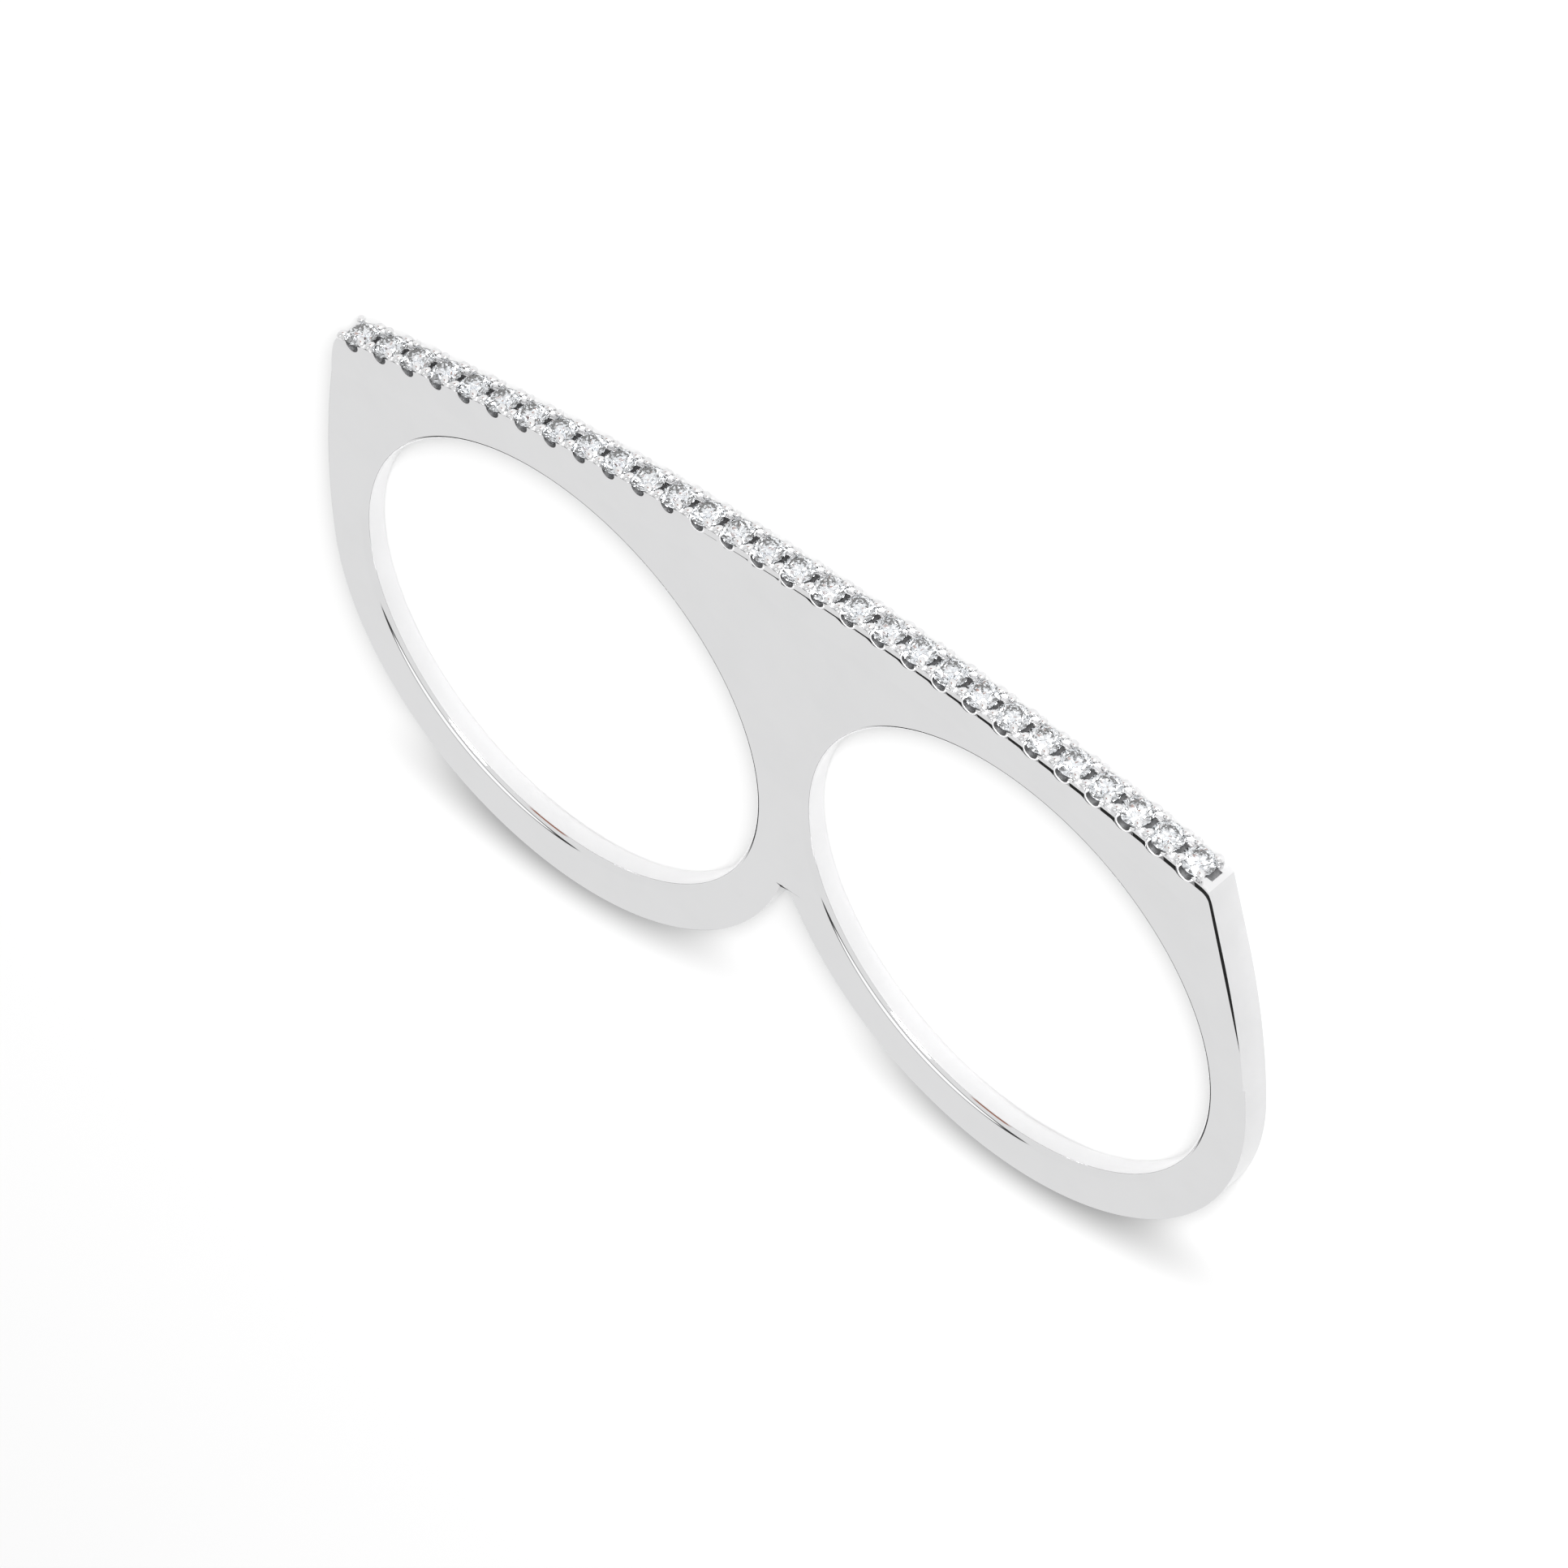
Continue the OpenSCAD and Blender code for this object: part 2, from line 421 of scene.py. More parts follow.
def new_material(name: str) -> tuple[bpy.types.Material, NodeGraph, bpy.types.Node]:
    """Makes a material.

    Args:
        name: name of the material.

    Returns:
        The material, a writer for its nodes and its shader.
    """
    material = bpy.data.materials.new(name)
    material.use_nodes = True
    return material, NodeGraph(material.node_tree), material.node_tree.nodes["Principled BSDF"]


def polish_marks() -> bpy.types.NodeTree:
    """Builds the marks that a polishing wheel leaves: faint haze and a very shallow waviness.

    Returns:
        The group, with outputs Haze from 0 to 1 and Relief in metres.
    """
    group = bpy.data.node_groups.new("polish marks", "ShaderNodeTree")
    group.interface.new_socket("Vector", in_out="INPUT", socket_type="NodeSocketVector")
    ways = {"INPUT": ("Haze Size", "Grain Size", "Grain Depth"), "OUTPUT": ("Haze", "Relief")}
    for way, labels in ways.items():
        for label in labels:
            group.interface.new_socket(label, in_out=way, socket_type="NodeSocketFloat")
    graph = NodeGraph(group)
    source = graph.add("NodeGroupInput").outputs
    haze = graph.add("ShaderNodeTexNoise")
    graph.feed(haze, Vector=source["Vector"], Scale=source["Haze Size"], Detail=3.0, Roughness=0.55)
    grain = graph.add("ShaderNodeTexNoise")
    graph.feed(grain, Vector=source["Vector"], Scale=source["Grain Size"], Detail=2.0, Roughness=0.6)
    haze_mask = graph.ramp(haze.outputs["Fac"], (0.35, 0.75))
    level = graph.math("SUBTRACT", grain.outputs["Fac"], 0.5)
    relief = graph.math("MULTIPLY", level, source["Grain Depth"])
    graph.feed(graph.add("NodeGroupOutput"), Haze=haze_mask, Relief=relief)
    return group


@dataclass(frozen=True)
class MetalFinish:
    """White gold, from mirror polish to the grey of a cut that no wheel reaches; a lighter copy also carries
    painted light, and the darkest copy painted shade.

    A pair holds the values without and with haze. Haze and grain sizes count the features in a metre.
    """

    name: str
    greys: Pair
    roughness: Pair
    haze_size: float = 500.0
    grain_size: float = 12000.0
    grain_depth: float = 1e-8
    blue: float = 0.005
    bump: float = 0.5

    def build(self, polish: bpy.types.NodeTree) -> bpy.types.Material:
        """Makes the material.

        Args:
            polish: the shared node group of polishing marks.

        Returns:
            The material.
        """
        material, graph, shader = new_material(self.name)
        marks, place = graph.add("ShaderNodeGroup", node_tree=polish), graph.add("ShaderNodeTexCoord")
        grain = {"Grain_Size": self.grain_size, "Grain_Depth": self.grain_depth}
        graph.feed(marks, Vector=place.outputs["Object"], Haze_Size=self.haze_size, **grain)
        haze = marks.outputs["Haze"]
        colour = graph.mix(haze, *((grey, grey, grey + self.blue) for grey in self.greys))
        roughness = graph.ramp(haze, (0.0, 1.0), self.roughness)
        bump = graph.add("ShaderNodeBump")
        graph.feed(bump, Strength=self.bump, Distance=1.0, Height=marks.outputs["Relief"])
        graph.feed(shader, Base_Color=colour, Roughness=roughness, Metallic=1.0, Normal=bump.outputs[0])
        return material


@dataclass(frozen=True)
class StoneFinish:
    """Clear, faintly cool cut stone."""

    name: str = "clear_brilliant"
    ior: float = 2.65
    tint: Triple = (0.98, 0.99, 1.0)
    cool_tint: Triple = (0.89, 0.94, 1.0)
    tint_size: float = 700.0
    roughness: float = 0.02

    def build(self) -> bpy.types.Material:
        """Makes the material and returns it."""
        material, graph, shader = new_material(self.name)
        place = graph.add("ShaderNodeTexCoord").outputs["Object"]
        noise = graph.feed(graph.add("ShaderNodeTexNoise"), Vector=place, Scale=self.tint_size, Detail=1.0)
        tint = graph.mix(noise.outputs["Fac"], self.tint, self.cool_tint)
        graph.feed(shader, Base_Color=tint, Roughness=self.roughness, IOR=self.ior, Transmission_Weight=1.0)
        return material


class Finishes:
    """Every material of the ring, made once."""

    def __init__(self) -> None:
        """Builds the materials."""
        polished = MetalFinish("polished_white_gold", greys=(0.785, 0.77), roughness=(0.03, 0.06))
        satin = MetalFinish("satin_white_gold", greys=(0.69, 0.67), roughness=(0.12, 0.18))
        # Rougher metal, lighter than the metal is: the extra brightness is painted light, on the waists, lips
        # and seats
        bead = MetalFinish("bead_white_gold_painted_light", (0.93, 0.88), (0.55, 0.63), 3000.0, 9000.0, grain_depth=1e-6)
        # Rougher unpolished metal, far darker than the metal is: the darkness is painted shade in the cuts and
        # channel, and a painted dark reflection on the flare's slope
        unpolished_with_painted_shade = MetalFinish("unpolished_white_gold_painted_shade", (0.4, 0.24), (0.4, 0.55), 6000.0, 9000.0, grain_depth=4e-6)
        marks = polish_marks()
        self.polished, self.satin, self.bead, self.unpolished_with_painted_shade = (
            finish.build(marks) for finish in (polished, satin, bead, unpolished_with_painted_shade)
        )
        self.stone = StoneFinish().build()


@dataclass
class Stones:
    """The round brilliants, which are the frame's own nodes. Sizes in millimetres."""

    row: Row
    finishes: Finishes
    radius: float = 0.575
    girdle_t: float = 0.035
    culet: float = -0.512
    seat_gap: float = 0.02
    seat_top: float = 0.4

    def dress(self, nodes: dict[str, Piece]) -> None:
        """Gives every stone its material.

        Args:
            nodes: the frame's nodes by name.
        """
        for index in range(self.row.count):
            stone = nodes[f"stone_{index + 1:02d}"]
            stone.data.materials.clear()
            stone.data.materials.append(self.finishes.stone)
            LOG.info("%s: dressed", stone.name)


@dataclass(frozen=True)
class Steps:
    """How many steps or corners each curve of the casting is drawn with."""

    notch: int = 10
    shank: int = 130
    wall_curve: int = 24
    crown: int = 144
    left_corner: int = 10
    rim: int = 3
    flare_per_stone: int = 20
    flare_corner: int = 24
    hole: int = 288
    hole_edge: int = 12
    scallop: int = 48
    channel_per_stone: int = 4
    seat: int = 40
    neck: int = 20
    bead: tuple[int, int] = (22, 14)
    waist: int = 8
    lip: int = 12
    lip_arc: int = 32
    lip_end: tuple[int, int] = (14, 10)


@dataclass
class CastBody:
    """The one casting: shanks, arched bar, the rail with its cuts and posts, and beads. In millimetres."""

    row: Row
    finishes: Finishes
    steps: Steps = Steps()
    # Finger holes, shanks and the notch between them
    left_hole_r: float = 8.65
    right_hole_r: float = 8.53
    shank_x: float = 9.73
    right_hole_drop: float = 0.22
    comfort_r: float = 0.25
    plate_t: float = 1.0
    shank_r: float = 10.17
    shank_drop: float = 0.29
    notch_r: float = 0.3
    # Bar, its end walls and its upper corners
    rail_t: float = 1.2
    rail_drop: float = 0.05
    end_half: float = 18.92
    end_y: float = 9.0
    end_lean: float = math.radians(10.3)
    end_blend_r: float = 34.0
    chamfer: float = 0.09
    left_trim: float = 0.26
    left_curve: float = 1.7
    edge_r: float = 0.015
    # Flare and swell below the rail; flare_from is a position on the row
    edge_depth: float = 0.12
    edge_lost: float = 0.2
    flare_w: float = 0.385
    swell_depth: float = 1.85
    swell_t: float = 0.1
    flare_first: float = -1.6
    flare_from: float = 11.7
    flare_full: float = 28.7
    turn_depth: float = 0.93
    turn_inset: float = 0.63
    end_flare_y: float = 2.4
    end_run: float = 8.0
    buried: float = 0.004
    overlap: float = 0.01
    beyond: float = 0.3
    polished_to: float = 0.957
    # Wave of the flare's foot round each lip, and the share of a stone over which it calms at the right end
    wave_x: float = -0.16
    wave_half: float = 0.4
    wave_reach: float = 0.21
    calm: float = 0.125
    line_gap: float = 0.004
    # Cuts below the stones, and the channel between the posts
    scallop_r: float = 0.27
    scallop_depth: float = 0.37
    scallop_slide: float = -0.03
    channel_w: float = 0.5
    channel_depth: float = 0.35
    channel_start: float = 0.3
    channel_end: float = 0.6
    channel_top: float = 0.4
    # Beads, their necks and the waists between them
    bead_size: Triple = (0.19, 0.12, 0.14)
    bead_h: float = 0.17
    bead_lean: float = math.radians(16.0)
    bead_x: float = 0.44
    bead_z: float = 0.44
    neck_r: float = 0.1
    neck_foot_r: float = 0.03
    neck_h: float = 0.38
    neck_top: float = 0.18
    neck_slide: float = -0.01
    waist_r: float = 0.07
    waist_h: float = 0.03
    # Lips round the cuts
    lip_r: float = 0.028
    lip_gap: float = 0.01
    lip_start: float = math.radians(150.0)
    lip_turn: float = math.radians(195.0)
    lip_least: float = 0.2
    lip_end_r: float = 0.05
    lip_end_h: float = 0.06

    @property
    def shank_centre(self) -> Vector:
        """Centre of the right shank's outside."""
        return Vector((self.shank_x, -self.shank_drop, 0.0))

    @property
    def holes(self) -> tuple[tuple[Vector, float], tuple[Vector, float]]:
        """Centre and radius of the left and the right finger hole."""
        left = Vector((-self.shank_x, 0.0, 0.0))
        right = Vector((self.shank_x, -self.right_hole_drop, 0.0))
        return (left, self.left_hole_r), (right, self.right_hole_r)

    @property
    def wall_normal(self) -> Vector:
        """Direction that the right end wall faces."""
        return Vector((math.cos(self.end_lean), math.sin(self.end_lean), 0.0))

    @property
    def wall_along(self) -> Vector:
        """Direction up the right end wall."""
        return Vector((-math.sin(self.end_lean), math.cos(self.end_lean), 0.0))

    @property
    def blend_centre(self) -> Vector:
        """Centre of the curve that leads the right end wall into its shank."""
        on_wall = Vector((self.end_half, self.end_y, 0.0))
        start = on_wall - self.end_blend_r * self.wall_normal - self.shank_centre
        along = start.dot(self.wall_along)
        slide = math.sqrt(along**2 - start.length_squared + (self.end_blend_r - self.shank_r) ** 2) - along
        return self.shank_centre + start + slide * self.wall_along

    def on_wall(self, depth: float, inset: float) -> Vector:
        """Finds the point at a depth below the girdle line and a distance inside the right end wall.

        Args:
            depth: depth below the girdle line.
            inset: distance from the end wall.

        Returns:
            The point, on the back face's plane.
        """
        foot = self.blend_centre + (self.end_blend_r - inset) * self.wall_normal
        start = foot - self.row.centre
        along = start.dot(self.wall_along)
        reach = self.row.radius - depth
        return foot + (math.sqrt(along**2 - start.length_squared + reach**2) - along) * self.wall_along

    def share(self, position: float) -> float:
        """How far the rail's flare has grown at a position, from 0 at the left to 1 at the right end."""
        return min(1.0, max(0.0, (position - self.flare_from) / (self.flare_full - self.flare_from)))

    def _outline(self, name: str, low: float, high: float) -> Piece:
        """Makes a slab with the ring's front outline, without its finger holes.

        Args:
            name: name of the slab.
            low: level of its back.
            high: level of its front.

        Returns:
            The slab.
        """
        lift, mirror = Vector((0.0, 0.0, low)), Vector((-1.0, 1.0, 1.0))
        notch_span = self.shank_r + self.notch_r
        notch = Vector((0.0, -self.shank_drop - math.sqrt(notch_span**2 - self.shank_x**2), low))
        notch_turn = math.atan2(-self.shank_drop - notch.y, self.shank_x)
        reach = self.shank_centre - self.blend_centre
        low_turn = math.atan2(reach.y, reach.x)
        arcs = (
            (notch, notch_turn - math.pi / 2, self.steps.notch),
            (self.shank_centre + lift, math.pi - notch_turn + low_turn, self.steps.shank),
            (self.blend_centre + lift, self.end_lean - low_turn, self.steps.wall_curve),
        )
        corner = self.on_wall(self.rail_drop, 0.0)
        wall_low = self.blend_centre + self.end_blend_r * self.wall_normal
        wall_high = corner - self.chamfer * self.wall_along
        crown_turn = self.row.angle_of(corner) - self.chamfer / self.row.radius
        left_turn = self.row.angle_of(corner) - self.left_trim / self.row.radius
        curve_start = self.row.point(-left_turn, -self.rail_drop)
        curve_end = (corner - self.left_curve * self.wall_along) * mirror
        curve = [
            (1 - t) ** 2 * curve_start + 2 * t * (1 - t) * corner * mirror + t**2 * curve_end
            for t in (step / self.steps.left_corner for step in range(self.steps.left_corner + 1))
        ]
        slab = start_point(name, notch + Vector((0.0, self.notch_r, 0.0)))
        with editing(slab):
            for centre, turn, steps in arcs:
                draw_arc(centre, turn, steps)
            draw_line(wall_high - wall_low)
            draw_line(self.row.point(crown_turn, -self.rail_drop) - wall_high)
            draw_arc(self.row.centre + lift, crown_turn + left_turn, self.steps.crown)
            for here, there in zip(curve, [*curve[1:], wall_low * mirror]):
                draw_line(there - here)
            for centre, turn, steps in reversed(arcs):
                draw_arc(centre * mirror, turn, steps)
            bpy.ops.mesh.select_all(action="SELECT")
            bpy.ops.mesh.remove_doubles(threshold=TIGHT)
            bpy.ops.mesh.edge_face_add()
            bpy.ops.mesh.extrude_region_move(TRANSFORM_OT_translate={"value": (0.0, 0.0, high - low)})
            close_solid()
        return slab

    def _soften_rims(self, slab: Piece) -> None:
        """Rounds the front and back rims of a slab a little, as polishing does.

        Args:
            slab: the slab with the ring's outline.
        """
        with editing(slab):
            bpy.ops.mesh.select_mode(type="FACE")
            mesh = bmesh.from_edit_mesh(slab.data)
            for face in mesh.faces:
                face.select = abs(face.normal.z) > LEVEL
            bmesh.update_edit_mesh(slab.data)
            bpy.ops.mesh.select_mode(type="EDGE")
            bpy.ops.mesh.region_to_loop()
            bpy.ops.mesh.bevel(offset=self.edge_r, segments=self.steps.rim, affect="EDGES")
            bpy.ops.mesh.select_mode(type="VERT")

    def _profile(self, name: str, corners: list[Pair], position: float) -> Piece:
        """Draws a closed profile across the row, ready to be swept.

        Args:
            name: name of the object.
            corners: its corners as height above the girdle line and level.
            position: position on the row where it stands.

        Returns:
            The profile.
        """
        angle = self.row.angle(position)
        profile = trace(name, [self.row.point(angle, height, z) for height, z in corners])
        with editing(profile):
            bpy.ops.mesh.edge_face_add()
        return profile

    def _flare(self) -> Piece:
        """Makes what stands in front of the plate: the rail's front, its wavy flare and the swell below it.

        The flare follows the row, turns round the right corner and runs out down the front of the end wall.

        Returns:
            The solid, still larger than the bar.
        """
        pivot = self.on_wall(self.turn_depth, self.turn_inset)
        first, last = self.flare_first, self.row.position_of(pivot)
        rise = self.end_flare_y - self.blend_centre.y
        run_out_x = self.blend_centre.x + math.sqrt(self.end_blend_r**2 - rise**2)
        way = Vector((run_out_x, self.end_flare_y, 0.0)) - pivot
        foot_depth = self.edge_depth + self.flare_w
        heading = math.atan2(way.y, way.x) - math.asin((self.turn_depth - foot_depth) / way.length)
        turn = heading + self.row.angle_of(pivot)
        forward = Vector((math.cos(heading), math.sin(heading), 0.0))
        low, foot_z = self.plate_t - self.swell_t, self.plate_t - self.buried
        rail = [(-self.edge_depth, self.rail_t), (self.beyond, self.rail_t), (self.beyond, low)]
        front = [(-foot_depth, self.plate_t + self.swell_t), *rail]
        swell = [(-self.swell_depth, low), (-self.swell_depth, foot_z)]
        part = (self.swell_depth - self.turn_depth) / (self.swell_depth - foot_depth)
        at_pivot = [(-self.turn_depth, low), (-self.turn_depth, foot_z + part * (self.swell_t + self.buried))]
        corner = self._profile("flare_corner", at_pivot + front, last)
        sweep(corner, pivot, turn, self.steps.flare_corner)
        to_pivot = Matrix.Translation(pivot)
        aim = Matrix.Translation(-self.overlap * forward) @ to_pivot @ Matrix.Rotation(turn, 4, "Z")
        runner = moved(self._profile("flare_runner", swell + front, last), aim @ to_pivot.inverted())
        with editing(runner):
            bpy.ops.mesh.extrude_region_move(TRANSFORM_OT_translate={"value": self.end_run * forward})
            close_solid()
        stop = last + self.overlap / self.row.pitch
        solid = self._profile("rail_flare", swell + front, first)
        steps = round((last - first) * self.steps.flare_per_stone)
        sweep(solid, self.row.centre, self.row.angle(first) - self.row.angle(stop), steps)
        self._shape_flare(solid, last)
        for piece in (solid, corner, runner):
            piece.data.materials.append(self.finishes.polished)
        # Slot 1, the dark finish, paints the dark reflection on the flare's sloped band
        solid.data.materials.append(self.finishes.unpolished_with_painted_shade)
        combine(solid, corner, Cut.JOIN)
        combine(solid, runner, Cut.JOIN)
        return solid

    def _flare_lines(self, position: float) -> Pair:
        """Finds how deep the flare's edge and foot lie below the girdle line at a position.

        Both keep straight along the posts. At each cut they pass round its lip.

        Args:
            position: position on the row.

        Returns:
            The depth of the edge and that of the foot.
        """
        share = self.share(position)
        along = (position - round(position)) * self.row.pitch - self.scallop_slide
        round_lip = self.scallop_r + 2 * self.lip_r + self.lip_gap
        below = self.scallop_depth - self.scallop_r
        edge = self.edge_depth + (1.0 - share) * self.edge_lost
        foot = edge + share * self.flare_w + self.line_gap
        if abs(along) < round_lip:
            edge = max(edge, below + math.sqrt(round_lip**2 - along**2))
        lean = (along - self.wave_x) / self.wave_half
        if abs(lean) < 1.0:
            low_foot = below + round_lip + share * self.wave_reach + self.line_gap
            foot += math.cos(lean * math.pi / 2) ** 2 * (low_foot - foot)
        return edge, max(foot, edge + self.line_gap)

    def _shape_flare(self, solid: Piece, last: float) -> None:
        """Moves the flare's lines up and down the rail, so that it waves and fades to the left.

        Args:
            solid: the swept flare.
            last: position at which it leaves the row.
        """
        near = 0.01
        with editing(solid):
            mesh = bmesh.from_edit_mesh(solid.data)
            for vertex in mesh.verts:
                position = self.row.position_of(vertex.co)
                if position > last + near:
                    continue
                outward = self.row.outward(self.row.angle(position))
                below_edge = self.row.radius - (vertex.co - self.row.centre).xy.length - self.edge_depth
                edge, foot = self._flare_lines(position)
                fade = min(1.0, max(0.0, last - position) / self.calm)
                if vertex.co.z > self.rail_t - TIGHT:
                    vertex.co.z -= (1.0 - self.share(position)) * self.swell_t
                if abs(below_edge) < near:
                    vertex.co -= fade * (edge - self.edge_depth) * outward
                elif abs(below_edge - self.flare_w) < near:
                    vertex.co -= fade * (foot - self.edge_depth - self.flare_w) * outward
            bmesh.ops.triangulate(mesh, faces=[face for face in mesh.faces if len(face.verts) == 4])
            for face in mesh.faces:
                face.normal_update()
                # The sloped band gets slot 1: a painted dark reflection
                if UPRIGHT < face.normal.z < self.polished_to:
                    face.material_index = 1
            bmesh.update_edit_mesh(solid.data)

    def _hole_cutter(self, centre: Vector, radius: float) -> Piece:
        """Makes the cutter of one finger hole, flared at both faces so that the hole's edges are rounded.

        Args:
            centre: centre of the hole on the back face.
            radius: radius of its straight wall.

        Returns:
            The cutter.
        """
        wide, past = radius + self.comfort_r, Vector((0.0, 0.0, 0.6))
        levels = (self.comfort_r, self.plate_t - self.comfort_r)
        cutter = start_point("hole_cutter", centre - past)
        with editing(cutter):
            draw_line(Vector((wide, 0.0, 0.0)))
            for level, rise in zip(levels, (past, Vector((0.0, 0.0, levels[1] - levels[0])))):
                draw_line(rise)
                draw_arc(centre + Vector((wide, 0.0, level)), math.pi / 2, self.steps.hole_edge, Axis.UP)
            draw_line(past)
            draw_line(Vector((-wide, 0.0, 0.0)))
        return sweep(cutter, centre, 2 * math.pi, self.steps.hole)

    def _scallop_cutters(self) -> Piece:
        """Makes the cutters of the U-shaped cuts, one below each stone.

        Returns:
            The cutters as one object.
        """
        place = (self.scallop_slide, self.scallop_r - self.scallop_depth, 0.0)
        sizes = {"vertices": self.steps.scallop, "radius": self.scallop_r, "depth": 2 * self.rail_t}
        first = added(bpy.ops.mesh.primitive_cylinder_add, "scallop_cutter", location=place, **sizes)
        # The cutters carry the dark finish onto the cut faces: painted shade in the cuts
        return repeated("scallop_cutters", settle(first), self.row.places(), self.finishes.unpolished_with_painted_shade)

    def _channel_cutter(self) -> Piece:
        """Makes the cutter of the channel between the front and back posts.

        Returns:
            The cutter.
        """
        low, high = self.row.girdle_z - self.channel_w / 2, self.row.girdle_z + self.channel_w / 2
        floor, top = -self.channel_depth, self.channel_top
        first, last = -self.channel_start, self.row.count - 1 + self.channel_end
        corners = [(floor, low), (floor, high), (top, high), (top, low)]
        cutter = self._profile("channel_cutter", corners, first)
        turn = self.row.angle(first) - self.row.angle(last)
        sweep(cutter, self.row.centre, turn, self.steps.channel_per_stone * self.row.count)
        # The channel's faces get the dark finish: painted shade in the channel
        cutter.data.materials.append(self.finishes.unpolished_with_painted_shade)
        return cutter

    def _seat_cutters(self, stone: Stones) -> Piece:
        """Makes the cutters of the stones' seats, a cone with a straight collar for each.

        Args:
            stone: the stones' sizes.

        Returns:
            The cutters as one object.
        """
        wide, top = stone.radius + stone.seat_gap, stone.seat_top
        half = stone.girdle_t / 2 + stone.seat_gap
        corners = [(0.0, stone.culet - stone.seat_gap), (wide, -half), (wide, top), (0.0, top)]
        first = trace("seat_cutter", [Vector((x, y, 0.0)) for x, y in corners])
        sweep(first, Vector(), 2 * math.pi, self.steps.seat, Axis.UP)
        return repeated("seat_cutters", first, self.row.places(), self.finishes.bead)

    def _beads(self) -> Piece:
        """Makes four beads on their necks around each stone.

        Returns:
            The beads as one object.
        """
        sizes = {"radius1": self.neck_r, "radius2": self.neck_foot_r, "depth": self.neck_h}
        place = (self.neck_slide, self.neck_top - self.neck_h / 2, 0.0)
        pose = {"location": place, "rotation": (math.pi / 2, 0.0, 0.0)}
        neck = added(bpy.ops.mesh.primitive_cone_add, "neck", vertices=self.steps.neck, **sizes, **pose)
        around, up = self.steps.bead
        bead = added(bpy.ops.mesh.primitive_uv_sphere_add, "bead", segments=around, ring_count=up, radius=1)
        lean = Matrix.Translation((0.0, self.bead_h, 0.0)) @ Matrix.Rotation(-self.bead_lean, 4, "Z")
        moved(bead, lean @ Matrix.Diagonal((*self.bead_size, 1.0)))
        combine(bead, settle(neck), Cut.JOIN)
        out = Matrix.Translation((math.hypot(self.bead_x, self.bead_z), 0.0, 0.0))
        corners = [Matrix.Rotation((quarter + 0.5) * math.pi / 2, 4, "Y") @ out for quarter in range(4)]
        four = repeated("four_beads", bead, corners, self.finishes.polished)
        return repeated("beads", four, self.row.places(), self.finishes.polished)

    def _waists(self) -> Piece:
        """Makes the faceted waists between the two beads of each post, at the front and at the back.

        Returns:
            The waists as one object.
        """
        half = self.row.pitch / 2 - self.bead_x
        heights = [(-half, 0.0), (-half, self.neck_r), (0.0, self.waist_r), (half, self.neck_r), (half, 0.0)]
        waist = trace("waist", [Vector((x, self.waist_h + y, 0.0)) for x, y in heights])
        sweep(waist, Vector((0.0, self.waist_h, 0.0)), 2 * math.pi, self.steps.waist, Axis.ROW)
        sides = [Matrix.Translation((0.0, 0.0, side * self.bead_z)) for side in (-1, 1)]
        pair = repeated("waist_pair", waist, sides, self.finishes.bead)
        posts = [self.row.place(index + 0.5) for index in range(self.row.count - 1)]
        return repeated("waists", pair, posts, self.finishes.bead)

    def _lips(self) -> tuple[Piece, Piece]:
        """Makes the raised lip round each cut's front mouth, and the small ball at the lip's left end.

        The lips grow towards the right with the flare, and the cuts to the left of it have none.

        Returns:
            The lips as one object, and the balls as another.
        """
        reach = self.scallop_r + self.lip_r
        front_z = self.rail_t - self.row.girdle_z
        middle = Vector((self.scallop_slide, self.scallop_r - self.scallop_depth, front_z))
        away = Vector((math.cos(self.lip_start), math.sin(self.lip_start), 0.0))
        disk = {"vertices": self.steps.lip, "radius": self.lip_r, "fill_type": "NGON"}
        pose = {"location": middle + reach * away, "rotation": (math.pi / 2, 0.0, self.lip_start)}
        lip = added(bpy.ops.mesh.primitive_circle_add, "lip", **disk, **pose)
        sweep(settle(lip), middle, self.lip_turn, self.steps.lip_arc)
        around, up = self.steps.lip_end
        sphere = {"segments": around, "ring_count": up, "radius": self.lip_end_r}
        place = (-reach, self.lip_end_h, front_z - self.lip_end_r)
        ball = added(bpy.ops.mesh.primitive_uv_sphere_add, "lip_end", location=place, **sphere)
        front = Matrix.Translation((0.0, 0.0, front_z))
        lips, balls = [], []
        for index in range(self.row.count):
            share = self.share(index)
            if share > 0.0:
                sunk = self.row.place(index) @ Matrix.Translation((0.0, 0.0, -(1.0 - share) * self.swell_t))
                flat = Matrix.Diagonal((1.0, 1.0, self.lip_least + (1.0 - self.lip_least) * share, 1.0))
                lips.append(sunk @ front @ flat @ front.inverted())
                balls.append(sunk)
        gold = self.finishes.bead
        return repeated("lips", lip, lips, gold), repeated("lip_ends", settle(ball), balls, gold)

    def _smooth(self, body: Piece) -> None:
        """Shades the curved faces smooth and keeps the flats flat.

        Args:
            body: the finished casting.
        """
        with editing(body):
            close_solid()
        focus(body)
        bpy.ops.object.shade_smooth_by_angle(angle=math.radians(32.0))
        self._keep_lines(body)
        use_modifier(body, "WEIGHTED_NORMAL", mode="FACE_AREA", weight=80, keep_sharp=True)

    def _keep_lines(self, body: Piece) -> None:
        """Marks the casting's long lines in front sharp, so that each facet there stays even."""
        least_angle, front, steepest = math.radians(2.5), 0.8, 0.15
        with editing(body):
            mesh = bmesh.from_edit_mesh(body.data)
            for edge in mesh.edges:
                if len(edge.link_faces) != 2 or min(face.normal.z for face in edge.link_faces) < front:
                    continue
                start, end = (vertex.co for vertex in edge.verts)
                rims = ((centre, radius + self.comfort_r - TIGHT) for centre, radius in self.holes)
                if any((start - centre).xy.length < radius for centre, radius in rims):
                    continue
                level = abs(end.z - start.z) < steepest * (end - start).length
                if level and edge.calc_face_angle() > least_angle:
                    edge.smooth = False
            bmesh.update_edit_mesh(body.data)

